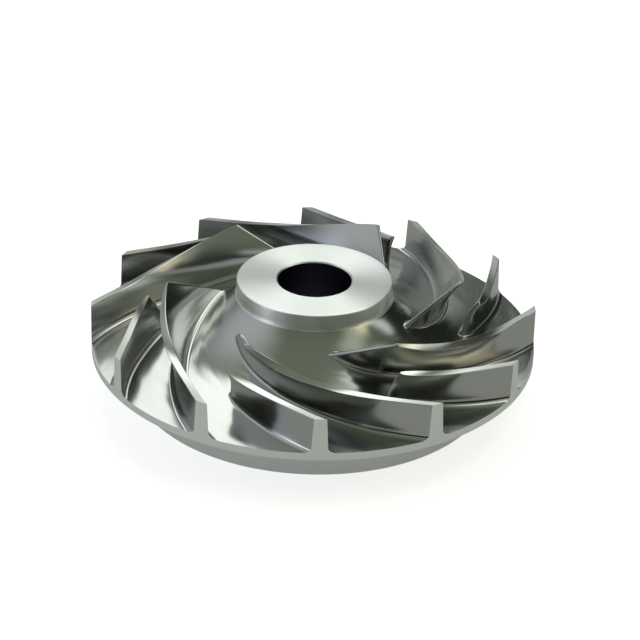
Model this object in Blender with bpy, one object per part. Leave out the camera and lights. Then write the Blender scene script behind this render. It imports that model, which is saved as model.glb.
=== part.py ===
# Semi-open centrifugal blower impeller, milled from one round billet of aluminium.
# Metres, +Z up along the shaft axis, origin at the middle of the flat back face.
# The flow surface, the shroud line and the blade wraps are plain formulas of the radius.

import math

import bmesh
import bpy
from mathutils import Vector

# Turned sizes
OUTER_RADIUS = 0.1500
RIM_THICKNESS = 0.0056
EXIT_HEIGHT = 0.0250
BOSS_RADIUS = 0.1208
BOSS_DEPTH = 0.0288
NOSE_RADIUS = 0.0524
NOSE_TOP_HEIGHT = 0.0510
NOSE_FOOT_HEIGHT = 0.0410
BORE_RADIUS = 0.0250
EDGE_BREAK = 0.0010

# Blade sizes
FULL_BLADES = 6
FIRST_FULL_TIP_ANGLE = math.radians(2.46)
INLET_SHROUD_RADIUS = 0.0990
INLET_SHROUD_HEIGHT = 0.0485
INLET_HUB_RADIUS = 0.0645
SHROUD_WRAP = math.radians(59.0)
HUB_WRAP = math.radians(82.8)
TOP_THICKNESS = 0.0050
ROOT_THICKNESS = 0.0060
EDGE_THICKNESS_SHARE = 0.45
EDGE_TAPER_SHARE = 0.12
SPLITTER_TOP_SHARE = 0.745
SPLITTER_ROOT_SHARE = 0.572

# Shares of the straight part in each curve, and the power of the curved part
SHROUD_HEIGHT_POWER = 4.3
SHROUD_WRAP_LINEAR = 0.426
SHROUD_WRAP_POWER = 3.14
HUB_HEIGHT_LINEAR = 0.22
HUB_HEIGHT_POWER = 3.7
HUB_WRAP_LINEAR = 0.60
HUB_WRAP_POWER = 3.4

# Faceting
TURNED_SEGMENTS = 96
FLOW_SEGMENTS = 9
SHROUD_SEGMENTS = 6
BLADE_STATIONS = 17
STOCK_OVERSIZE = 1.02
TIP_OVERSHOOT = -0.10
ROOT_SINK = -0.16
MIDDLE_LEVEL = 0.50
TOP_OVERSHOOT = 1.30
SMOOTH_ANGLE = math.radians(30)

RIM_BOTTOM = BOSS_DEPTH
RIM_TOP = RIM_BOTTOM + RIM_THICKNESS
TIP_TOP = RIM_TOP + EXIT_HEIGHT
NOSE_TOP = RIM_BOTTOM + NOSE_TOP_HEIGHT
NOSE_FOOT = RIM_BOTTOM + NOSE_FOOT_HEIGHT
INLET_SHROUD_TOP = RIM_BOTTOM + INLET_SHROUD_HEIGHT


def clear_scene():
    for old in list(bpy.data.objects):
        bpy.data.objects.remove(old, do_unlink=True)


def blend(share, linear, power):
    # Runs from 0 to 1: a straight part and a part that grows towards the eye
    return linear * share + (1.0 - linear) * max(share, 0.0) ** power


def inward_share(radius, inner_radius):
    return (OUTER_RADIUS - radius) / (OUTER_RADIUS - inner_radius)


def flow_height(radius):
    share = inward_share(radius, NOSE_RADIUS)
    rise = NOSE_FOOT - RIM_TOP
    return RIM_TOP + rise * blend(share, HUB_HEIGHT_LINEAR, HUB_HEIGHT_POWER)


def shroud_height(radius):
    share = inward_share(radius, INLET_SHROUD_RADIUS)
    rise = INLET_SHROUD_TOP - TIP_TOP
    return TIP_TOP + rise * blend(share, 0.0, SHROUD_HEIGHT_POWER)


def at_angle(radius, angle, height):
    return Vector((radius * math.cos(angle), radius * math.sin(angle), height))


def camber_point(tip_angle, share, level):
    # Level 0 lies on the flow surface and level 1 on the shroud line, along one straight ruling
    hub_radius = OUTER_RADIUS + share * (INLET_HUB_RADIUS - OUTER_RADIUS)
    top_radius = OUTER_RADIUS + share * (INLET_SHROUD_RADIUS - OUTER_RADIUS)
    hub_turn = HUB_WRAP * blend(share, HUB_WRAP_LINEAR, HUB_WRAP_POWER)
    top_turn = SHROUD_WRAP * blend(share, SHROUD_WRAP_LINEAR, SHROUD_WRAP_POWER)
    foot = at_angle(hub_radius, tip_angle - hub_turn, flow_height(hub_radius))
    head = at_angle(top_radius, tip_angle - top_turn, shroud_height(top_radius))
    return foot + (head - foot) * level


def camber_normal(tip_angle, share, level):
    step = 0.01
    along = camber_point(tip_angle, share + step, level) - camber_point(tip_angle, share - step, level)
    upward = camber_point(tip_angle, share, level + step) - camber_point(tip_angle, share, level - step)
    return along.cross(upward).normalized()


def half_thickness(place, level):
    # The blade thins towards its leading edge, where place is 1
    full = ROOT_THICKNESS + (TOP_THICKNESS - ROOT_THICKNESS) * min(max(level, 0.0), 1.0)
    edge = max(0.0, (place - 1.0 + EDGE_TAPER_SHARE) / EDGE_TAPER_SHARE)
    return 0.5 * full * (1.0 - (1.0 - EDGE_THICKNESS_SHARE) * edge ** 2)


def edge_share(root_share, top_share, level):
    return root_share + (top_share - root_share) * level


def add_blade(mesh, tip_angle, root_share, top_share):
    # One closed loft with the same points at each station, oversize at the tip, foot and head
    levels = (ROOT_SINK, MIDDLE_LEVEL, TOP_OVERSHOOT)
    section = [(level, -1) for level in levels] + [(level, 1) for level in reversed(levels)]
    loops = []
    for station in range(BLADE_STATIONS):
        place = station / (BLADE_STATIONS - 1)
        corners = []
        for level, side in section:
            inner = edge_share(root_share, top_share, min(max(level, 0.0), 1.0))
            share = TIP_OVERSHOOT + (inner - TIP_OVERSHOOT) * place
            middle = camber_point(tip_angle, share, level)
            offset = camber_normal(tip_angle, share, level) * half_thickness(place, level)
            corners.append(mesh.verts.new(middle + offset * side))
        loops.append(corners)
    for near, far in zip(loops, loops[1:]):
        for corner in range(len(section)):
            following = (corner + 1) % len(section)
            mesh.faces.new((near[corner], near[following], far[following], far[corner]))
    mesh.faces.new(loops[0][::-1])
    mesh.faces.new(loops[-1])


def turned_mesh(name, outline):
    # The outline is a closed loop of radius and height that never touches the axis
    mesh = bmesh.new()
    rings = []
    for segment in range(TURNED_SEGMENTS):
        angle = 2.0 * math.pi * segment / TURNED_SEGMENTS
        rings.append([mesh.verts.new(at_angle(radius, angle, height)) for radius, height in outline])
    for segment in range(TURNED_SEGMENTS):
        ring = rings[segment]
        following_ring = rings[(segment + 1) % TURNED_SEGMENTS]
        for point in range(len(outline)):
            following = (point + 1) % len(outline)
            mesh.faces.new((ring[point], ring[following], following_ring[following], following_ring[point]))
    return finished_mesh(name, mesh)


def finished_mesh(name, mesh):
    bmesh.ops.recalc_face_normals(mesh, faces=mesh.faces)
    data = bpy.data.meshes.new(name)
    mesh.to_mesh(data)
    mesh.free()
    return data


def hub_outline():
    # From the bore's foot, out along the back, round the rim and in over the flow surface
    stock = OUTER_RADIUS * STOCK_OVERSIZE
    outline = [
        (BORE_RADIUS + EDGE_BREAK, 0.0),
        (BOSS_RADIUS - EDGE_BREAK, 0.0),
        (BOSS_RADIUS, EDGE_BREAK),
        (BOSS_RADIUS, RIM_BOTTOM),
        (stock, RIM_BOTTOM),
    ]
    for step in range(FLOW_SEGMENTS + 1):
        share = math.sin(0.5 * math.pi * step / FLOW_SEGMENTS)
        radius = stock + (NOSE_RADIUS - stock) * share
        outline.append((radius, flow_height(radius)))
    outline += [
        (NOSE_RADIUS, NOSE_TOP - EDGE_BREAK),
        (NOSE_RADIUS - EDGE_BREAK, NOSE_TOP),
        (BORE_RADIUS + EDGE_BREAK, NOSE_TOP),
        (BORE_RADIUS, NOSE_TOP - EDGE_BREAK),
        (BORE_RADIUS, EDGE_BREAK),
    ]
    return outline


def envelope_outline():
    # The turned blank: outer diameter and shroud line, with room over the nose and under the back
    inner = BORE_RADIUS * 0.5
    ceiling = NOSE_TOP * 1.2
    outline = [(inner, -RIM_BOTTOM), (OUTER_RADIUS, -RIM_BOTTOM)]
    for step in range(SHROUD_SEGMENTS + 1):
        radius = OUTER_RADIUS + (INLET_SHROUD_RADIUS - OUTER_RADIUS) * step / SHROUD_SEGMENTS
        outline.append((radius, shroud_height(radius)))
    outline += [(NOSE_RADIUS * 1.5, ceiling), (inner, ceiling)]
    return outline


def blade_stock_mesh():
    mesh = bmesh.new()
    pitch = 2.0 * math.pi / FULL_BLADES
    for blade in range(FULL_BLADES):
        tip_angle = FIRST_FULL_TIP_ANGLE + pitch * blade
        add_blade(mesh, tip_angle, 1.0, 1.0)
        add_blade(mesh, tip_angle + pitch / 2.0, SPLITTER_ROOT_SHARE, SPLITTER_TOP_SHARE)
    # The blade faces are twisted, so they are split into flat triangles before they are cut
    bmesh.ops.triangulate(mesh, faces=mesh.faces, quad_method="FIXED")
    return finished_mesh("blade_stock", mesh)


def add_guide(data):
    guide = bpy.data.objects.new(data.name, data)
    bpy.context.scene.collection.objects.link(guide)
    guide.hide_render = True
    guide.display_type = "WIRE"
    return guide


def add_boolean(target, operation, guide):
    modifier = target.modifiers.new(guide.name, "BOOLEAN")
    modifier.operation = operation
    modifier.solver = "EXACT"
    modifier.object = guide


def aluminium():
    material = bpy.data.materials.new("milled_aluminium")
    material.use_nodes = True
    shader = material.node_tree.nodes["Principled BSDF"]
    shader.inputs["Base Color"].default_value = (0.62, 0.63, 0.61, 1.0)
    shader.inputs["Metallic"].default_value = 1.0
    shader.inputs["Roughness"].default_value = 0.25
    return material


def build_impeller():
    data = turned_mesh("impeller", hub_outline())
    impeller = bpy.data.objects.new("impeller", data)
    bpy.context.scene.collection.objects.link(impeller)
    data.materials.append(aluminium())
    data.shade_smooth()
    data.set_sharp_from_angle(angle=SMOOTH_ANGLE)
    add_boolean(impeller, "UNION", add_guide(blade_stock_mesh()))
    add_boolean(impeller, "INTERSECT", add_guide(turned_mesh("turned_blank", envelope_outline())))


clear_scene()
build_impeller()
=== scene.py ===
import math
import bmesh
import bpy
import numpy as np
from mathutils import Matrix, Vector


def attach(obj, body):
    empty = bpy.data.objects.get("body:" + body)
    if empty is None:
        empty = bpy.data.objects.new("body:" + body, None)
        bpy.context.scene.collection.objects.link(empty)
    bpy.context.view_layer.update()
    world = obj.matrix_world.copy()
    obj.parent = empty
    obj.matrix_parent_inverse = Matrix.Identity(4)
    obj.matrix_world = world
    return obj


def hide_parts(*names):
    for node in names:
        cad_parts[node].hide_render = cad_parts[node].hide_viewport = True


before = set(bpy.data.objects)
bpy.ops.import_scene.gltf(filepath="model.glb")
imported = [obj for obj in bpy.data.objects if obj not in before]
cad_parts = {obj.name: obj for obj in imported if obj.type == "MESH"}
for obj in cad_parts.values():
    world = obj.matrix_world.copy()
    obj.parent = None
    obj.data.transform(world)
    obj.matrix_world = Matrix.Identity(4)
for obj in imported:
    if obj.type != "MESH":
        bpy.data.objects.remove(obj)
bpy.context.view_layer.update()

# Sizes are in millimetres and degrees, seen from the nose, and go to metres where a mesh is written
mm = 0.001

wheel = {
    "outerRadius": 150.0,
    "rimThickness": 5.6,
    "exitHeight": 25.0,
    "bossRadius": 120.8,
    "bossDepth": 28.8,
    "noseRadius": 52.4,
    "noseHeight": 51.0,       # above the rim's lower edge
    "noseFootHeight": 41.0,   # where the flow surface meets the nose
    "boreRadius": 25.0,
    "edgeBreak": 0.8,
    "cornerFillet": 1.6,      # under the rim, where the boss begins
    "noseFillet": 1.1,
    "heightLinear": 0.22,     # share of the flow surface's rise that is straight
    "heightPower": 3.7,
}

blades = {
    "pairs": 6,
    "firstTipAngle": 2.46,
    "inletShroudRadius": 99.0,
    "inletShroudHeight": 48.5,
    "inletHubRadius": 64.5,
    "shroudPower": 4.3,
    "shroudWrap": 59.0,
    "shroudWrapLinear": 0.426,
    "shroudWrapPower": 3.14,
    "hubWrap": 82.8,
    "hubWrapLinear": 0.60,
    "hubWrapPower": 3.4,
    "topThickness": 5.0,
    "rootThickness": 6.0,
    "edgeThickness": 0.45,    # share of the thickness left at the leading edge
    "edgeTaper": 0.13,        # share of the length over which it thins
    "noseLength": 2.2,        # length of the rounded leading edge
    "filletRadius": 3.6,
    "edgeFilletShare": 0.55,  # how much of the fillet is left round the leading edge
    "edgeFilletReach": 0.22,  # share of the length over which it grows back
    "chamfer": 0.35,
    "splitterRootShare": 0.572,
    "splitterTopShare": 0.745,
}

meshing = {
    "bend": 0.05,             # share of a blade's contour that rounds its leading edge
    "edgeStations": 8,
    "outerStations": 44,
    "innerStations": 32,
    "arcSteps": 6,
    "faceSteps": 10,
    "floorSteps": 15,
    "noseSteps": 10,
    "turnedSteps": 6,
    "backSteps": 12,
    "breakSteps": 4,
    "cornerSteps": 5,
    "rootSearch": (-0.3, 0.6),   # levels between which a face meets the flow surface
    "topSearch": (0.6, 1.5),     # and the shroud surface
    "halvings": 30,
    "rimCorrections": 8,
    "weldDistance": 0.002,
    "sharpAngle": 28.0,
}

fullBlade = {"rootShare": 1.0, "topShare": 1.0}
splitterBlade = {"rootShare": blades["splitterRootShare"], "topShare": blades["splitterTopShare"]}

rimBottom = wheel["bossDepth"]
rimTop = rimBottom + wheel["rimThickness"]
tipTop = rimTop + wheel["exitHeight"]
noseTop = rimBottom + wheel["noseHeight"]
noseFoot = rimBottom + wheel["noseFootHeight"]
inletTop = rimBottom + blades["inletShroudHeight"]
pitch = math.tau / blades["pairs"]
finishNumbers = {"milledFloor": 0, "milledBlade": 1, "turnedLand": 2, "turnedSatin": 3, "facedNose": 4,
                 "boredHole": 5}


# Shape rules, all on arrays of numbers

def blend(share, linear, power):
    return linear * share + (1 - linear) * np.maximum(share, 0) ** power


def flowHeight(radius):
    share = (wheel["outerRadius"] - radius) / (wheel["outerRadius"] - wheel["noseRadius"])
    return rimTop + (noseFoot - rimTop) * blend(share, wheel["heightLinear"], wheel["heightPower"])


def shroudHeight(radius):
    share = (wheel["outerRadius"] - radius) / (wheel["outerRadius"] - blades["inletShroudRadius"])
    return tipTop + (inletTop - tipTop) * blend(share, 0, blades["shroudPower"])


def polar(radius, angle, height):
    return np.stack([radius * np.cos(angle), radius * np.sin(angle), height + 0 * radius], -1)


def reach(point):
    return np.hypot(point[..., 0], point[..., 1])


def unit(vector):
    return vector / np.linalg.norm(vector, axis=-1, keepdims=True)


def camber(blade, place, level):
    # place runs 0 at the rim to 1 at the leading edge, level 0 at the root to 1 at the shroud
    lean = np.clip(level, 0, 1)
    share = place * (blade["rootShare"] + (blade["topShare"] - blade["rootShare"]) * lean)
    outer = wheel["outerRadius"]
    hubRadius = outer + share * (blades["inletHubRadius"] - outer)
    topRadius = outer + share * (blades["inletShroudRadius"] - outer)
    hubWound = blend(share, blades["hubWrapLinear"], blades["hubWrapPower"])
    topWound = blend(share, blades["shroudWrapLinear"], blades["shroudWrapPower"])
    hubTurn = math.radians(blades["hubWrap"]) * hubWound
    topTurn = math.radians(blades["shroudWrap"]) * topWound
    foot = polar(hubRadius, -hubTurn, flowHeight(hubRadius))
    head = polar(topRadius, -topTurn, shroudHeight(topRadius))
    return foot + (head - foot) * level[..., None]


def camberNormal(blade, place, level):
    step = 0.004
    along = camber(blade, place + step, level) - camber(blade, place - step, level)
    upward = camber(blade, place, level + step) - camber(blade, place, level - step)
    return unit(np.cross(along, upward))


def facePoint(blade, around, level):
    # around runs -1 at the rim on one face, 0 at the leading edge and 1 at the rim on the other face
    around, level = np.broadcast_arrays(np.asarray(around, float), np.asarray(level, float))
    far = np.abs(around)
    whole, step = np.ones_like(far), 0.02
    edgeStep = camber(blade, whole, level) - camber(blade, whole * (1 - step), level)
    roundShare = blades["noseLength"] / (np.linalg.norm(edgeStep, axis=-1) / step)
    bend = meshing["bend"]
    turn = 0.5 * math.pi * np.minimum(far / bend, 1)
    nosePlace = 1 - roundShare * (1 - np.cos(turn))
    facePlace = (1 - roundShare) * (1 - (far - bend) / (1 - bend))
    place = np.where(far < bend, nosePlace, facePlace)
    taper = blades["topThickness"] - blades["rootThickness"]
    thickness = blades["rootThickness"] + taper * np.clip(level, 0, 1)
    nearEdge = np.maximum(0, (place - 1 + blades["edgeTaper"]) / blades["edgeTaper"])
    half = 0.5 * thickness * (1 - (1 - blades["edgeThickness"]) * nearEdge ** 2)
    offset = half * np.sin(turn) * np.sign(around)
    return camber(blade, place, level) + camberNormal(blade, place, level) * offset[..., None]


def faceNormal(blade, around, level):
    step = 0.002
    across = facePoint(blade, around + step, level) - facePoint(blade, around - step, level)
    upward = facePoint(blade, around, level + step) - facePoint(blade, around, level - step)
    return -unit(np.cross(across, upward))


def levelAt(blade, around, surface, search):
    # The level where a blade's face crosses a turned surface, by halving
    low = np.full_like(around, search[0])
    high = np.full_like(around, search[1])
    for _ in range(meshing["halvings"]):
        middle = 0.5 * (low + high)
        point = facePoint(blade, around, middle)
        below = point[..., 2] < surface(reach(point))
        low = np.where(below, middle, low)
        high = np.where(below, high, middle)
    return 0.5 * (low + high)


def climb(blade, around, level, step):
    # How far a face climbs for one unit of level, measured over one step
    rise = facePoint(blade, around, level + step) - facePoint(blade, around, level)
    return np.linalg.norm(rise, axis=-1) / abs(step)


def flowNormal(point):
    radius = reach(point)
    step = 0.05
    slope = (flowHeight(radius + step) - flowHeight(radius - step)) / (2 * step)
    outward = -slope / radius
    return unit(np.stack([outward * point[..., 0], outward * point[..., 1], 1 + 0 * radius], -1))


def onSurface(point, surface):
    lifted = point.copy()
    lifted[..., 2] = surface(reach(point))
    return lifted


def filletSize(around):
    # The fillet is smaller round the leading edge
    growth = eased(np.minimum(np.abs(around) / blades["edgeFilletReach"], 1))
    size = blades["filletRadius"] * (blades["edgeFilletShare"] + (1 - blades["edgeFilletShare"]) * growth)
    return size[..., None]


def filletRows(blade, around, root):
    # Rows up the fillet, and the level where the bare face starts
    rootPoint = facePoint(blade, around, root)
    outward = faceNormal(blade, around, root)
    upward = flowNormal(rootPoint)
    size = filletSize(around)
    lean = 1 + np.sum(outward * upward, -1)
    middle = rootPoint + size * (outward + upward) / lean[..., None]
    faceReach = np.linalg.norm(middle - size * outward - rootPoint, axis=-1)
    faceStart = root + faceReach / climb(blade, around, root, step=0.01)
    footArm = onSurface(middle - size * upward, flowHeight) - middle
    faceArm = facePoint(blade, around, faceStart) - middle
    footLength = np.linalg.norm(footArm, axis=-1)
    faceLength = np.linalg.norm(faceArm, axis=-1)
    swing = np.arccos(np.clip(np.sum(unit(footArm) * unit(faceArm), -1), -1, 1))
    rows = []
    for share in np.linspace(0, 1, meshing["arcSteps"] + 1):
        footPart = np.sin((1 - share) * swing) / np.sin(swing)
        facePart = np.sin(share * swing) / np.sin(swing)
        arm = unit(footArm) * footPart[..., None] + unit(faceArm) * facePart[..., None]
        rows.append(middle + arm * (footLength * (1 - share) + faceLength * share)[..., None])
    return rows, faceStart


def bladeProfile(blade, around):
    # Rows from the fillet's foot on the flow surface, up the fillet and the face, to the top land
    around = np.asarray(around, float)
    root = levelAt(blade, around, flowHeight, meshing["rootSearch"])
    top = levelAt(blade, around, shroudHeight, meshing["topSearch"])
    rows, faceStart = filletRows(blade, around, root)
    faceEnd = top - blades["chamfer"] / climb(blade, around, top, step=-0.02)
    for share in np.linspace(0, 1, meshing["faceSteps"] + 1)[1:]:
        rows.append(facePoint(blade, around, faceStart + (faceEnd - faceStart) * share))
    land = facePoint(blade, around, top) - blades["chamfer"] * faceNormal(blade, around, top)
    rows.append(onSurface(land, shroudHeight))
    return np.stack(rows)


def bladeFace(blade, side, stops):
    # Each row is stretched so that it ends exactly on the turned outer diameter
    rowCount = meshing["arcSteps"] + meshing["faceSteps"] + 2
    pick = np.arange(rowCount)
    rim = np.full(rowCount, float(side))
    step = 0.002
    for _ in range(meshing["rimCorrections"]):
        short = reach(bladeProfile(blade, rim)[pick, pick]) - wheel["outerRadius"]
        further = reach(bladeProfile(blade, rim + side * step)[pick, pick]) - wheel["outerRadius"]
        rim = rim - side * step * short / (further - short)
    around = stops[None, :] * rim[:, None]
    every = bladeProfile(blade, around)
    points = every[pick, pick]
    points[:, 0, :2] *= (wheel["outerRadius"] / reach(points[:, 0]))[:, None]
    return points


# Patches: grids of points that share their borders, welded once the wheel is whole

def turned(points, angle):
    spun = points.copy()
    spun[..., 0] = points[..., 0] * math.cos(angle) - points[..., 1] * math.sin(angle)
    spun[..., 1] = points[..., 0] * math.sin(angle) + points[..., 1] * math.cos(angle)
    return spun


def angleOf(points):
    return np.unwrap(np.arctan2(points[..., 1], points[..., 0]), axis=-1)


def runLengths(points, axis):
    steps = np.linalg.norm(np.diff(points, axis=axis), axis=-1)
    start = np.zeros_like(np.take(steps, [0], axis=axis))
    return np.concatenate([start, np.cumsum(steps, axis=axis)], axis=axis)


def addPatch(patches, points, finish, alongAxis):
    # The UV map follows the cutter: U along its path and V across it
    along = runLengths(points, alongAxis)
    across = runLengths(points, 1 - alongAxis)
    patches.append((points, np.stack([along, across], -1), finishNumbers[finish]))


def between(first, last, steps, surface):
    # Rows from one edge to another, straight in radius and angle, and lying on a turned surface
    share = np.linspace(0, 1, steps + 1)[None, :]
    radius = reach(first)[:, None] * (1 - share) + reach(last)[:, None] * share
    start = np.arctan2(first[:, 1], first[:, 0])
    swing = (np.arctan2(last[:, 1], last[:, 0]) - start + math.pi) % math.tau - math.pi
    angle = start[:, None] + swing[:, None] * share
    points = polar(radius, angle, surface(radius))
    points[:, 0] = first
    points[:, -1] = last
    return points


def addBlade(patches, blade, faces, angle):
    # Two faces joined at the leading edge, the top land and the end face on the outer diameter
    clockwise, counter = faces
    contour = np.concatenate([clockwise, counter[:, -2::-1]], axis=1)
    addPatch(patches, turned(contour, angle), "milledBlade", 1)
    landSteps = 2 * meshing["edgeStations"]
    land = between(clockwise[-1], counter[-1], landSteps, shroudHeight)
    land[-1] = clockwise[-1, -1]
    addPatch(patches, turned(land, angle), "turnedLand", 0)
    share = np.linspace(0, 1, landSteps + 1)
    start = np.arctan2(clockwise[:, 0, 1], clockwise[:, 0, 0])[:, None]
    stop = np.arctan2(counter[:, 0, 1], counter[:, 0, 0])[:, None]
    swing = (stop - start + math.pi) % math.tau - math.pi
    height = clockwise[:, 0, 2][:, None] * (1 - share) + counter[:, 0, 2][:, None] * share
    endAngle = start + swing * share
    end = polar(wheel["outerRadius"] + 0 * endAngle, endAngle, height)
    addPatch(patches, turned(end, angle), "turnedSatin", 1)
    return angle + endAngle[0]


def eased(share):
    return share * share * (3 - 2 * share)


def floorPatches(patches, full, splitter):
    # The flow surface between one full blade, its splitter and the next full blade
    fullLeft = full[1][0]
    splitRight = turned(splitter[0][0], pitch / 2)
    splitLeft = turned(splitter[1][0], pitch / 2)
    fullRight = turned(full[0][0], pitch)
    outer = meshing["outerStations"] + 1
    inner = outer + meshing["innerStations"]
    steps = meshing["floorSteps"]
    first = between(fullLeft[:outer], splitRight[:outer], steps, flowHeight)
    second = between(splitLeft[:outer], fullRight[:outer], steps, flowHeight)
    addPatch(patches, first, "milledFloor", 0)
    addPatch(patches, second, "milledFloor", 0)
    rimAngles = (angleOf(first[0]), angleOf(second[0]))

    # Inwards of the splitter the two passages run on as one
    border = np.concatenate([
        first[-1], splitRight[outer:], splitLeft[outer - 1:-1][::-1], second[-1, 1:]])
    lefts = fullLeft[outer - 1:inner]
    rights = fullRight[outer - 1:inner]
    middle = morph(border, lefts, rights)
    addPatch(patches, middle, "milledFloor", 0)

    # Inwards of the full blade's edge the flow surface closes into a ring round the nose
    edge = np.concatenate([full[0][0, inner - 1:], full[1][0, inner - 1:-1][::-1]])
    ring = np.concatenate([edge, middle[-1, 1:]])
    ringAngle = angleOf(ring)
    ringReach = reach(ring)
    footRadius = wheel["noseRadius"] + wheel["noseFillet"]
    count = len(ring)
    footAngle = ringAngle[0] + pitch * np.arange(count) / (count - 1)
    rows = []
    for share in np.linspace(0, 1, meshing["noseSteps"] + 1):
        radius = ringReach * (1 - share) + footRadius * share
        angle = ringAngle + (footAngle - ringAngle) * eased(share)
        rows.append(polar(radius, angle, flowHeight(radius)))
    rows[0] = ring
    addPatch(patches, np.stack(rows), "milledFloor", 1)
    return rimAngles, footAngle


def morph(border, lefts, rights):
    # Rows that start on a bent border and straighten out between two edges
    radius = reach(border)
    angle = angleOf(border)
    spacing = runLengths(border, 0)
    spacing = spacing / spacing[-1]
    leftReach, rightReach = reach(lefts), reach(rights)
    leftAngle = angle[0] + angleOf(lefts) - angleOf(lefts)[0]
    rightAngle = angle[-1] + angleOf(rights) - angleOf(rights)[0]
    bentRadius = radius - (radius[0] + (radius[-1] - radius[0]) * spacing)
    bentAngle = angle - (angle[0] + (angle[-1] - angle[0]) * spacing)
    even = np.linspace(0, 1, len(border))
    rows = []
    for row, share in enumerate(np.linspace(0, 1, len(lefts))):
        place = spacing * (1 - eased(share)) + even * eased(share)
        fade = (1 - share) ** 3
        rowReach = leftReach[row] + (rightReach[row] - leftReach[row]) * place + bentRadius * fade
        rowAngle = leftAngle[row] + (rightAngle[row] - leftAngle[row]) * place + bentAngle * fade
        rows.append(polar(rowReach, rowAngle, flowHeight(rowReach)))
    grid = np.stack(rows)
    grid[0] = border
    grid[:, 0] = lefts
    grid[:, -1] = rights
    return grid


def arcPoints(centre, radius, start, stop, steps):
    angles = np.radians(np.linspace(start, stop, steps + 1))
    return list(zip(centre[0] + radius * np.cos(angles), centre[1] + radius * np.sin(angles)))


def ringPatch(patches, outline, angles, finish):
    radius, height = np.array(outline).T[..., None]
    rows = polar(radius + 0 * angles, angles + 0 * radius, height)
    addPatch(patches, rows, finish, 1)


def rolled(angles, target):
    # The same ring of columns, started near another angle, one sector long
    around = angles[:-1]
    start = int(np.argmin(np.abs(around - target)))
    return np.concatenate([around[start:], around[:start] + pitch, around[start:start + 1] + pitch])


def noseSide():
    # A curve tangent to the flow surface at its foot and to the nose at its top, then straight up
    nose, fillet, step = wheel["noseRadius"], wheel["noseFillet"], 0.1
    foot = float(flowHeight(nose + fillet))
    slope = (foot - float(flowHeight(nose + fillet + step))) / step
    lift = fillet * (1 + slope)
    outline = []
    for share in np.linspace(0, 1, meshing["turnedSteps"] + 1):
        radius = nose + fillet * (1 - share) ** 2
        rise = slope * fillet * 2 * share * (1 - share) + (lift + slope * fillet) * share ** 2
        outline.append((radius, foot + rise))
    return outline + [(nose, noseTop - wheel["edgeBreak"])]


def backPatch(patches, noseAngles, rimAngles):
    # The flat back carries the columns over from the nose's spacing to the rim's, with the least twist
    bore, boss, brk = wheel["boreRadius"], wheel["bossRadius"], wheel["edgeBreak"]
    start = rolled(noseAngles, noseAngles[0])
    near = [rolled(start, start[0] + part) for part in np.linspace(0, pitch, 2 * len(start))]
    twists = [np.mean((candidate - rimAngles + pitch / 2) % pitch - pitch / 2) for candidate in near]
    start = near[int(np.argmin(np.abs(twists)))]
    start = start + pitch * round(float(np.mean(rimAngles - start)) / pitch)
    rows = []
    for share in np.linspace(0, 1, meshing["backSteps"] + 1):
        radius = (bore + brk) * (1 - share) + (boss - brk) * share
        angle = start + (rimAngles - start) * eased(share)
        rows.append(polar(radius + 0 * angle, angle, 0 * angle))
    addPatch(patches, np.stack(rows), "turnedSatin", 1)


def turnedPatches(patches, noseAngles, rimAngles):
    # Everything that was turned on the lathe, from the nose through the bore and the back to the rim
    nose, bore = wheel["noseRadius"], wheel["boreRadius"]
    boss, outer = wheel["bossRadius"], wheel["outerRadius"]
    brk, corner = wheel["edgeBreak"], wheel["cornerFillet"]
    steps = meshing["turnedSteps"]
    noseBreak = arcPoints((nose - brk, noseTop - brk), brk, 0, 90, meshing["breakSteps"])
    top = [(radius, noseTop) for radius in np.linspace(nose - brk, bore + brk, steps + 1)]
    wall = [(bore, height) for height in np.linspace(noseTop - brk, brk, 2 * steps + 1)]
    for outline, finish in ((noseSide(), "facedNose"), (noseBreak, "facedNose"), (top, "facedNose"),
                            ([(bore + brk, noseTop), (bore, noseTop - brk)], "facedNose"),
                            (wall, "boredHole"), ([(bore, brk), (bore + brk, 0)], "turnedSatin")):
        ringPatch(patches, outline, noseAngles, finish)

    stop = rolled(rimAngles, rimAngles[0])
    backPatch(patches, noseAngles, stop)
    side = [(boss, height) for height in np.linspace(brk, rimBottom - corner, steps + 1)]
    cornerArc = arcPoints((boss + corner, rimBottom - corner), corner, 180, 90, meshing["cornerSteps"])
    under = [(radius, rimBottom) for radius in np.linspace(boss + corner, outer - brk / 2, steps)]
    rimBreak = [(outer - brk / 2, rimBottom), (outer, rimBottom + brk / 2)]
    rim = [(outer, height) for height in np.linspace(rimBottom + brk / 2, rimTop, 3)]
    for outline in ([(boss - brk, 0), (boss, brk)], side, cornerArc, under, rimBreak, rim):
        ringPatch(patches, outline, stop, "turnedSatin")


def contourStops(blade):
    # Stations run from 1 at the rim to 0 at the leading edge, and the full blade's match the splitter's
    bend = meshing["bend"]
    outer = np.linspace(0, 1, meshing["outerStations"] + 1)
    if blade is splitterBlade:
        long = 1 - (1 - bend) * outer
    else:
        share = splitterBlade["rootShare"]
        inner = np.linspace(share, 1, meshing["innerStations"] + 1)[1:]
        long = 1 - (1 - bend) * np.concatenate([outer * share, inner])
    edge = bend * (1 - np.linspace(0, 1, meshing["edgeStations"] + 1)[1:])
    return np.concatenate([long, edge])


def sectorPatches():
    # One sixth of the wheel: a full blade, a splitter and all that lies between
    patches = []
    full = [bladeFace(fullBlade, side, contourStops(fullBlade)) for side in (-1, 1)]
    splitter = [bladeFace(splitterBlade, side, contourStops(splitterBlade)) for side in (-1, 1)]
    fullEnd = addBlade(patches, fullBlade, full, 0)
    splitterEnd = addBlade(patches, splitterBlade, splitter, pitch / 2)
    passages, noseAngles = floorPatches(patches, full, splitter)
    rimAngles = np.unwrap(np.concatenate([fullEnd, passages[0][1:], splitterEnd[1:], passages[1][1:]]))
    turnedPatches(patches, noseAngles, rimAngles)
    return patches


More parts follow.
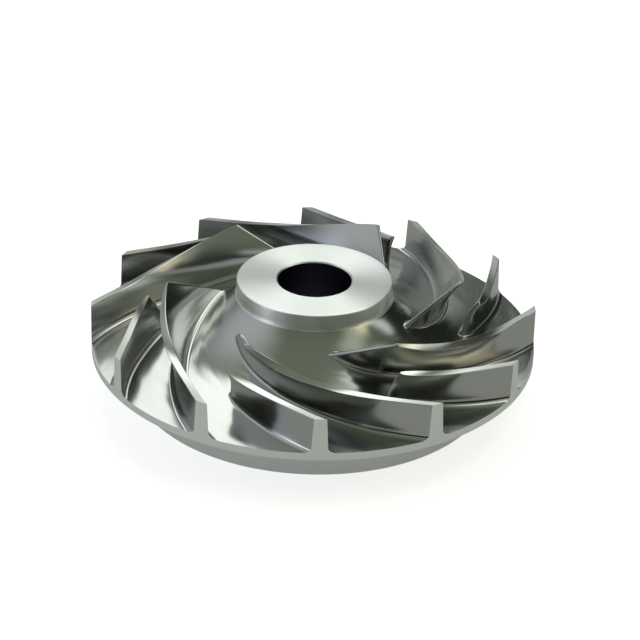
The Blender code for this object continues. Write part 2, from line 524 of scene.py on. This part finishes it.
def sectorMesh(patches):
    points, faces, places, finishes = [], [], [], []
    total = 0
    for grid, uv, finish in patches:
        rows, columns = grid.shape[:2]
        index = total + np.arange(rows * columns).reshape(rows, columns)
        around = [index[:-1, :-1], index[1:, :-1], index[1:, 1:], index[:-1, 1:]]
        corners = np.stack(around, -1).reshape(-1, 4)
        points.append(grid.reshape(-1, 3) * mm)
        places.append(uv.reshape(-1, 2) * mm)
        faces.append(corners)
        finishes.append(np.full(len(corners), finish))
        total += rows * columns
    points, faces = np.concatenate(points), np.concatenate(faces)
    places, finishes = np.concatenate(places), np.concatenate(finishes)
    data = bpy.data.meshes.new("wheelSector")
    data.from_pydata(points.tolist(), [], faces.tolist())
    path = data.uv_layers.new(name="cutterPath")
    path.data.foreach_set("uv", places[faces.reshape(-1)].reshape(-1).astype(np.float32))
    finish = data.attributes.new("finish", "INT", "FACE")
    finish.data.foreach_set("value", finishes.astype(np.int32))
    sector = bpy.data.objects.new("wheelSector", data)
    bpy.context.scene.collection.objects.link(sector)
    return sector


# The tree that repeats one sector round the shaft and welds it into the wheel

def treeInputs(tree):
    sides = tree.interface
    sides.new_socket("Geometry", in_out="INPUT", socket_type="NodeSocketGeometry")
    for name, kind in (("Blade Pairs", "Int"), ("First Tip Angle", "Float"), ("Weld Distance", "Float"),
                       ("Sharp Angle", "Float")):
        sides.new_socket(name, in_out="INPUT", socket_type="NodeSocket" + kind)
    for finish in finishNumbers:
        sides.new_socket(finish, in_out="INPUT", socket_type="NodeSocketMaterial")
    sides.new_socket("Geometry", in_out="OUTPUT", socket_type="NodeSocketGeometry")
    return tree.nodes.new("NodeGroupInput")


def spunCopies(tree, given):
    # One sector for each pair of blades, turned about the shaft, made real and welded
    add, join = tree.nodes.new, tree.links.new
    points = add("GeometryNodePoints")
    join(given.outputs["Blade Pairs"], points.inputs["Count"])
    number = add("GeometryNodeInputIndex")
    oneTurn = add("ShaderNodeMath")
    oneTurn.operation = "DIVIDE"
    oneTurn.inputs[0].default_value = math.tau
    join(given.outputs["Blade Pairs"], oneTurn.inputs[1])
    angle = add("ShaderNodeMath")
    angle.operation = "MULTIPLY_ADD"
    join(number.outputs["Index"], angle.inputs[0])
    join(oneTurn.outputs[0], angle.inputs[1])
    join(given.outputs["First Tip Angle"], angle.inputs[2])
    spin = add("ShaderNodeCombineXYZ")
    join(angle.outputs[0], spin.inputs["Z"])
    copies = add("GeometryNodeInstanceOnPoints")
    join(points.outputs[0], copies.inputs["Points"])
    join(given.outputs["Geometry"], copies.inputs["Instance"])
    join(spin.outputs[0], copies.inputs["Rotation"])
    real = add("GeometryNodeRealizeInstances")
    join(copies.outputs[0], real.inputs["Geometry"])
    weld = add("GeometryNodeMergeByDistance")
    join(real.outputs[0], weld.inputs["Geometry"])
    join(given.outputs["Weld Distance"], weld.inputs["Distance"])
    return weld.outputs[0]


def creased(tree, given, geometry):
    # Smooth everywhere but along the machined edges
    add, join = tree.nodes.new, tree.links.new
    smooth = add("GeometryNodeSetShadeSmooth")
    join(geometry, smooth.inputs["Geometry"])
    edge = add("GeometryNodeInputMeshEdgeAngle")
    level = add("FunctionNodeCompare")
    level.data_type = "FLOAT"
    level.operation = "LESS_EQUAL"
    join(edge.outputs["Unsigned Angle"], level.inputs["A"])
    join(given.outputs["Sharp Angle"], level.inputs["B"])
    crease = add("GeometryNodeSetShadeSmooth")
    crease.domain = "EDGE"
    join(smooth.outputs[0], crease.inputs["Geometry"])
    join(level.outputs[0], crease.inputs["Shade Smooth"])
    return crease.outputs[0]


def painted(tree, given, geometry):
    # Each face takes the material of its finish
    add, join = tree.nodes.new, tree.links.new
    finish = add("GeometryNodeInputNamedAttribute")
    finish.data_type = "INT"
    finish.inputs["Name"].default_value = "finish"
    for name, value in finishNumbers.items():
        chosen = add("FunctionNodeCompare")
        chosen.data_type = "INT"
        chosen.operation = "EQUAL"
        join(finish.outputs["Attribute"], chosen.inputs[2])
        chosen.inputs[3].default_value = value
        paint = add("GeometryNodeSetMaterial")
        join(geometry, paint.inputs["Geometry"])
        join(chosen.outputs[0], paint.inputs["Selection"])
        join(given.outputs[name], paint.inputs["Material"])
        geometry = paint.outputs[0]
    return geometry


def repeatTree():
    tree = bpy.data.node_groups.new("repeatRoundShaft", "GeometryNodeTree")
    given = treeInputs(tree)
    wheelGeometry = painted(tree, given, creased(tree, given, spunCopies(tree, given)))
    result = tree.nodes.new("NodeGroupOutput")
    tree.links.new(wheelGeometry, result.inputs["Geometry"])
    return tree


def repeated(sector, finishes):
    # The sector's own modifier gives the whole wheel, kept as a plain mesh
    tree = repeatTree()
    repeat = sector.modifiers.new("repeatRoundShaft", "NODES")
    repeat.node_group = tree
    values = {
        "Blade Pairs": blades["pairs"],
        "First Tip Angle": math.radians(blades["firstTipAngle"]),
        "Weld Distance": meshing["weldDistance"] * mm,
        "Sharp Angle": math.radians(meshing["sharpAngle"]),
    }
    values.update(finishes)
    for item in tree.interface.items_tree:
        if item.in_out == "INPUT" and item.name in values:
            repeat[item.identifier] = values[item.name]
    bpy.context.view_layer.update()
    evaluated = sector.evaluated_get(bpy.context.evaluated_depsgraph_get())
    data = bpy.data.meshes.new_from_object(evaluated)
    data.name = "milledWheel"
    return data


def makeWheel(finishes):
    sector = sectorMesh(sectorPatches())
    sector.data.materials.append(finishes["milledFloor"])
    data = repeated(sector, finishes)
    bpy.data.objects.remove(sector, do_unlink=True)
    solid = bmesh.new()
    solid.from_mesh(data)
    bmesh.ops.recalc_face_normals(solid, faces=solid.faces)
    openEdges = sum(1 for edge in solid.edges if len(edge.link_faces) != 2)
    solid.to_mesh(data)
    solid.free()
    wheelObject = bpy.data.objects.new("milledWheel", data)
    bpy.context.scene.collection.objects.link(wheelObject)
    print("wheel:", len(data.polygons), "faces,", openEdges, "open edges")
    return wheelObject


# Finishes: the metal's colour and roughness, the cutter's marks, waves and ripples in turns per metre,
# and their depths as shares of the bump's height; the darker colours of the milled faces, the lands
# and the bore are painted shade on the same metal

toolMarksAndShade = {
    # painted shade: the milled flow surface and the blade faces take about half the turned metal's
    # colour, which darkens the passages
    "milledFloor": {"colour": (0.50, 0.51, 0.485), "roughness": 0.17, "along": 14, "across": 900,
                    "depth": 0.004, "waves": 110, "waveDepth": 0.02, "ripples": 45, "rippleDepth": 0.55},
    "milledBlade": {"colour": (0.50, 0.505, 0.49), "roughness": 0.185, "along": 8, "across": 700,
                    "depth": 0.004, "waves": 90, "waveDepth": 0.06, "ripples": 40, "rippleDepth": 0.45},
    # painted shade: the lands take a duller colour than the turned satin, which dims their reflections
    "turnedLand": {"colour": (0.58, 0.60, 0.56), "roughness": 0.20, "along": 4, "across": 1800,
                   "depth": 0.01, "waves": 80, "waveDepth": 0.03, "ripples": 40, "rippleDepth": 0.10},
    "turnedSatin": {"colour": (0.95, 0.97, 0.95), "roughness": 0.34, "along": 4, "across": 1800,
                    "depth": 0.02, "waves": 80, "waveDepth": 0.02, "ripples": 40, "rippleDepth": 0.05},
    "facedNose": {"colour": (0.95, 0.965, 0.94), "roughness": 0.40, "along": 4, "across": 1800,
                  "depth": 0.02, "waves": 80, "waveDepth": 0.02, "ripples": 60, "rippleDepth": 0.05,
                  "anisotropic": 0.85},
    # painted shade: the bore takes a dark bluish colour, which darkens the inside of the hole
    "boredHole": {"colour": (0.25, 0.25, 0.30), "roughness": 0.24, "along": 220, "across": 4,
                  "depth": 0.30, "waves": 4, "waveDepth": 0.10, "ripples": 60, "rippleDepth": 0.05},
}

markSockets = {
    "Marks Along": "along",
    "Marks Across": "across",
    "Mark Depth": "depth",
    "Waves Across": "waves",
    "Wave Depth": "waveDepth",
    "Ripples": "ripples",
    "Ripple Depth": "rippleDepth",
}

markLook = {
    "bumpHeight": 0.0005,      # metres
    "roughnessSpread": 0.10,   # how far the marks move the roughness
    "grooveTurn": 0.25,        # a quarter turn, so that light spreads across the lathe grooves
    "markDetail": 3.0,
    "waveDetail": 1.0,
    "rippleDetail": 0.0,
}


def addSocket(tree, name, side, kind):
    tree.interface.new_socket(name, in_out=side, socket_type="NodeSocket" + kind)


def mathNode(tree, operation, first, second=None, third=None):
    node = tree.nodes.new("ShaderNodeMath")
    node.operation = operation
    for slot, value in enumerate((first, second, third)):
        if value is None:
            continue
        if isinstance(value, (int, float)):
            node.inputs[slot].default_value = value
        else:
            tree.links.new(value, node.inputs[slot])
    return node.outputs[0]


def cutterMarksGroup():
    # Fine scratches along the cutter's path, slow waves between its passes and ripples both ways
    tree = bpy.data.node_groups.new("cutterMarks", "ShaderNodeTree")
    for name in markSockets:
        addSocket(tree, name, "INPUT", "Float")
    addSocket(tree, "Path", "INPUT", "Vector")
    addSocket(tree, "Height", "OUTPUT", "Float")
    addSocket(tree, "Mark", "OUTPUT", "Float")
    given = tree.nodes.new("NodeGroupInput")
    split = tree.nodes.new("ShaderNodeSeparateXYZ")
    tree.links.new(given.outputs["Path"], split.inputs[0])

    def stretchedNoise(along, across, detail):
        place = tree.nodes.new("ShaderNodeCombineXYZ")
        tree.links.new(mathNode(tree, "MULTIPLY", split.outputs["X"], along), place.inputs["X"])
        tree.links.new(mathNode(tree, "MULTIPLY", split.outputs["Y"], across), place.inputs["Y"])
        noise = tree.nodes.new("ShaderNodeTexNoise")
        noise.inputs["Scale"].default_value = 1.0
        noise.inputs["Detail"].default_value = detail
        tree.links.new(place.outputs[0], noise.inputs["Vector"])
        return noise.outputs[0]

    along, ripples = given.outputs["Marks Along"], given.outputs["Ripples"]
    mark = stretchedNoise(along, given.outputs["Marks Across"], markLook["markDetail"])
    wave = stretchedNoise(along, given.outputs["Waves Across"], markLook["waveDetail"])
    ripple = stretchedNoise(ripples, ripples, markLook["rippleDetail"])
    markHeight = mathNode(tree, "MULTIPLY", mark, given.outputs["Mark Depth"])
    waveHeight = mathNode(tree, "MULTIPLY_ADD", wave, given.outputs["Wave Depth"], markHeight)
    height = mathNode(tree, "MULTIPLY_ADD", ripple, given.outputs["Ripple Depth"], waveHeight)
    result = tree.nodes.new("NodeGroupOutput")
    tree.links.new(height, result.inputs["Height"])
    tree.links.new(mark, result.inputs["Mark"])
    return tree


def metal(name, marks):
    look = toolMarksAndShade[name]
    material = bpy.data.materials.new(name)
    material.use_nodes = True
    tree = material.node_tree
    shader = tree.nodes["Principled BSDF"]
    # The base colour carries the painted shade of the milled faces, the lands and the bore
    shader.inputs["Base Color"].default_value = (*look["colour"], 1)
    shader.inputs["Metallic"].default_value = 1.0
    path = tree.nodes.new("ShaderNodeUVMap")
    path.uv_map = "cutterPath"
    group = tree.nodes.new("ShaderNodeGroup")
    group.node_tree = marks
    for socket, setting in markSockets.items():
        group.inputs[socket].default_value = look[setting]
    tree.links.new(path.outputs[0], group.inputs["Path"])
    bump = tree.nodes.new("ShaderNodeBump")
    bump.inputs["Distance"].default_value = markLook["bumpHeight"]
    bump.inputs["Strength"].default_value = 1.0
    tree.links.new(group.outputs["Height"], bump.inputs["Height"])
    tree.links.new(bump.outputs[0], shader.inputs["Normal"])
    spread = markLook["roughnessSpread"]
    rough = mathNode(tree, "MULTIPLY_ADD", group.outputs["Mark"], spread, look["roughness"] - spread / 2)
    tree.links.new(rough, shader.inputs["Roughness"])
    if "anisotropic" in look:
        # Lathe grooves run round the shaft and spread the light across them
        grooves = tree.nodes.new("ShaderNodeTangent")
        grooves.direction_type = "RADIAL"
        grooves.axis = "Z"
        tree.links.new(grooves.outputs[0], shader.inputs["Tangent"])
        shader.inputs["Anisotropic"].default_value = look["anisotropic"]
        shader.inputs["Anisotropic Rotation"].default_value = markLook["grooveTurn"]
    return material


# The studio: camera, floor and light

camera = {
    "elevation": 29.16,
    "roll": 1.72,
    "distance": 1.8495,
    "focalPixels": 2717.5,
    "imageSide": 640.0,
    "centreColumn": 312.69,
    "centreRow": 345.31,
    "filmWidth": 36.0,
    "nearClip": 0.01,
    "farClip": 100.0,
}


def placeCamera():
    data = bpy.data.cameras.new("studioCamera")
    data.sensor_width = camera["filmWidth"]
    data.lens = camera["focalPixels"] / camera["imageSide"] * camera["filmWidth"]
    half = camera["imageSide"] / 2
    data.shift_x = (half - camera["centreColumn"]) / camera["imageSide"]
    data.shift_y = (camera["centreRow"] - half) / camera["imageSide"]
    data.clip_start = camera["nearClip"]
    data.clip_end = camera["farClip"]
    lens = bpy.data.objects.new("studioCamera", data)
    bpy.context.scene.collection.objects.link(lens)
    raised = math.radians(camera["elevation"])
    back = Vector((0, -math.cos(raised), math.sin(raised)))
    target = Vector((0, 0, rimBottom * mm))
    turn = (-back).to_track_quat("-Z", "Y").to_matrix().to_4x4()
    tilt = Matrix.Rotation(math.radians(camera["roll"]), 4, "Z")
    lens.matrix_world = Matrix.Translation(target + back * camera["distance"]) @ turn @ tilt
    bpy.context.scene.camera = lens


floorLook = {
    "halfSide": 12.0,                          # metres
    "seenColour": (0.93, 0.93, 0.93, 1),       # plain pale paper
    "mirroredColour": (0.43, 0.45, 0.41, 1),   # the table's tone in the wheel's reflections
    "seenGlow": 0.70,                          # lifts the paper so that only a soft shadow is left
    "mirroredGlow": 0.17,
    "roughness": 0.9,
}

roomLook = {
    "walls": (0.018, 0.022, 0.015),
    "ceiling": (0.215, 0.245, 0.185),
    "backdrop": (1, 1, 1, 1),       # what the camera itself sees behind the floor
    "ceilingStart": 0.45,           # height of a direction, 1 straight up
    "ceilingFull": 0.95,
}

# Soft rectangular lights by direction and size in degrees, as the photo's reflections show them.
# Azimuth runs from the camera's side round to the right, as seen from above.
softPanels = {
    "backSoftbox": {"azimuth": -174, "elevation": 47, "width": 28, "height": 34, "soft": 0.08,
                    "colour": (1.75, 1.82, 1.80)},
    "backLow": {"azimuth": -166, "elevation": 9, "width": 58, "height": 22, "soft": 0.10,
                "colour": (0.42, 0.44, 0.43)},
    "leftWindow": {"azimuth": -102, "elevation": 31, "width": 64, "height": 50, "soft": 0.44,
                   "colour": (0.56, 0.59, 0.63)},
    "leftLow": {"azimuth": -68, "elevation": 2, "width": 15, "height": 19, "soft": 0.06,
                "colour": (2.20, 2.30, 2.40)},
    "leftHaze": {"azimuth": -59, "elevation": 2, "width": 42, "height": 60, "soft": 0.33,
                 "colour": (0.42, 0.46, 0.60)},
    "frontStrip": {"azimuth": -5, "elevation": 40, "width": 27, "height": 8, "soft": 0.05,
                   "colour": (0.50, 0.53, 0.53)},
    "rightWarm": {"azimuth": 79, "elevation": 29, "width": 16, "height": 31, "soft": 0.07,
                  "colour": (0.96, 0.86, 0.60)},
    "rightHigh": {"azimuth": 69, "elevation": 50, "width": 19, "height": 30, "soft": 0.11,
                  "colour": (0.42, 0.43, 0.34)},
    "rightStrip": {"azimuth": 98, "elevation": 31, "width": 37, "height": 7, "soft": 0.05,
                   "colour": (1.05, 1.10, 1.06)},
    "rightTop": {"azimuth": 122, "elevation": 60, "width": 20, "height": 23, "soft": 0.14,
                 "colour": (2.10, 2.20, 2.10)},
}


def placeFloor():
    data = bpy.data.meshes.new("studioFloor")
    side = floorLook["halfSide"]
    corners = [(-side, -side, 0), (side, -side, 0), (side, side, 0), (-side, side, 0)]
    data.from_pydata(corners, [], [(0, 1, 2, 3)])
    floor = bpy.data.objects.new("studioFloor", data)
    bpy.context.scene.collection.objects.link(floor)
    paper = bpy.data.materials.new("palePaper")
    paper.use_nodes = True
    tree = paper.node_tree
    shader = tree.nodes["Principled BSDF"]
    ray = tree.nodes.new("ShaderNodeLightPath")
    tone = tree.nodes.new("ShaderNodeMix")
    tone.data_type = "RGBA"
    tone.inputs["A"].default_value = floorLook["mirroredColour"]
    tone.inputs["B"].default_value = floorLook["seenColour"]
    tree.links.new(ray.outputs["Is Camera Ray"], tone.inputs["Factor"])
    tree.links.new(tone.outputs["Result"], shader.inputs["Base Color"])
    shader.inputs["Roughness"].default_value = floorLook["roughness"]
    shader.inputs["Specular IOR Level"].default_value = 0.0
    shader.inputs["Emission Color"].default_value = (1, 1, 1, 1)
    lift = floorLook["seenGlow"] - floorLook["mirroredGlow"]
    glow = mathNode(tree, "MULTIPLY_ADD", ray.outputs["Is Camera Ray"], lift, floorLook["mirroredGlow"])
    tree.links.new(glow, shader.inputs["Emission Strength"])
    data.materials.append(paper)


def vectorNode(tree, operation, first, second):
    node = tree.nodes.new("ShaderNodeVectorMath")
    node.operation = operation
    for slot, value in enumerate((first, second)):
        if isinstance(value, (tuple, list, Vector)):
            node.inputs[slot].default_value = value
        else:
            tree.links.new(value, node.inputs[slot])
    return node.outputs["Value" if operation == "DOT_PRODUCT" else "Vector"]


def towards(azimuth, elevation):
    turn, rise = math.radians(azimuth), math.radians(elevation)
    return Vector((math.sin(turn) * math.cos(rise), -math.cos(turn) * math.cos(rise), math.sin(rise)))


def panelGroup():
    # How much of one soft-edged rectangular light a direction sees
    tree = bpy.data.node_groups.new("softPanel", "ShaderNodeTree")
    for name in ("Direction", "Middle", "Across", "Upwards"):
        addSocket(tree, name, "INPUT", "Vector")
    for name in ("Half Width", "Half Height", "Softness"):
        addSocket(tree, name, "INPUT", "Float")
    addSocket(tree, "Light", "OUTPUT", "Float")
    given = tree.nodes.new("NodeGroupInput")
    direction = given.outputs["Direction"]
    ahead = vectorNode(tree, "DOT_PRODUCT", direction, given.outputs["Middle"])
    grazing = 0.01
    light = mathNode(tree, "GREATER_THAN", ahead, grazing)
    depth = mathNode(tree, "MAXIMUM", ahead, grazing)
    softness = given.outputs["Softness"]
    for side, edgeName in (("Across", "Half Width"), ("Upwards", "Half Height")):
        sideways = vectorNode(tree, "DOT_PRODUCT", direction, given.outputs[side])
        offset = mathNode(tree, "ABSOLUTE", mathNode(tree, "DIVIDE", sideways, depth))
        edge = given.outputs[edgeName]
        fade = tree.nodes.new("ShaderNodeMapRange")
        fade.interpolation_type = "SMOOTHSTEP"
        tree.links.new(offset, fade.inputs["Value"])
        tree.links.new(mathNode(tree, "SUBTRACT", edge, softness), fade.inputs["From Min"])
        tree.links.new(mathNode(tree, "ADD", edge, softness), fade.inputs["From Max"])
        fade.inputs["To Min"].default_value = 1.0
        fade.inputs["To Max"].default_value = 0.0
        light = mathNode(tree, "MULTIPLY", light, fade.outputs["Result"])
    result = tree.nodes.new("NodeGroupOutput")
    tree.links.new(light, result.inputs["Light"])
    return tree


def roomWalls(tree, direction):
    # Dark walls that run into a lighter ceiling
    height = tree.nodes.new("ShaderNodeSeparateXYZ")
    tree.links.new(direction, height.inputs[0])
    lift = tree.nodes.new("ShaderNodeMapRange")
    lift.interpolation_type = "SMOOTHSTEP"
    lift.inputs["From Min"].default_value = roomLook["ceilingStart"]
    lift.inputs["From Max"].default_value = roomLook["ceilingFull"]
    tree.links.new(height.outputs["Z"], lift.inputs["Value"])
    walls = tree.nodes.new("ShaderNodeMix")
    walls.data_type = "RGBA"
    walls.inputs["A"].default_value = (*roomLook["walls"], 1)
    walls.inputs["B"].default_value = (*roomLook["ceiling"], 1)
    tree.links.new(lift.outputs["Result"], walls.inputs["Factor"])
    return walls.outputs["Result"]


def panelLight(tree, shared, direction, name, look):
    panel = tree.nodes.new("ShaderNodeGroup")
    panel.node_tree = shared
    panel.label = name
    middle = towards(look["azimuth"], look["elevation"])
    across = Vector((0, 0, 1)).cross(middle).normalized()
    panel.inputs["Middle"].default_value = middle
    panel.inputs["Across"].default_value = across
    panel.inputs["Upwards"].default_value = middle.cross(across)
    panel.inputs["Half Width"].default_value = math.tan(math.radians(look["width"] / 2))
    panel.inputs["Half Height"].default_value = math.tan(math.radians(look["height"] / 2))
    panel.inputs["Softness"].default_value = look["soft"]
    tree.links.new(direction, panel.inputs["Direction"])
    tint = tree.nodes.new("ShaderNodeVectorMath")
    tint.operation = "SCALE"
    tint.inputs[0].default_value = look["colour"]
    tree.links.new(panel.outputs["Light"], tint.inputs["Scale"])
    return tint.outputs[0]


def placeWorld():
    world = bpy.data.worlds.new("studioRoom")
    bpy.context.scene.world = world
    world.use_nodes = True
    tree = world.node_tree
    direction = tree.nodes.new("ShaderNodeTexCoord").outputs["Generated"]
    total = roomWalls(tree, direction)
    shared = panelGroup()
    for name, look in softPanels.items():
        total = vectorNode(tree, "ADD", total, panelLight(tree, shared, direction, name, look))
    ray = tree.nodes.new("ShaderNodeLightPath")
    seen = tree.nodes.new("ShaderNodeMix")
    seen.data_type = "RGBA"
    tree.links.new(ray.outputs["Is Camera Ray"], seen.inputs["Factor"])
    tree.links.new(total, seen.inputs["A"])
    seen.inputs["B"].default_value = roomLook["backdrop"]
    tree.links.new(seen.outputs["Result"], tree.nodes["Background"].inputs["Color"])


placeCamera()
placeFloor()
placeWorld()
bpy.context.scene.view_settings.view_transform = "Standard"
print("studio ready")

marksGroup = cutterMarksGroup()
finishes = {name: metal(name, marksGroup) for name in finishNumbers}
print("finishes ready")
milledWheel = makeWheel(finishes)
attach(milledWheel, "root")
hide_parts("impeller")
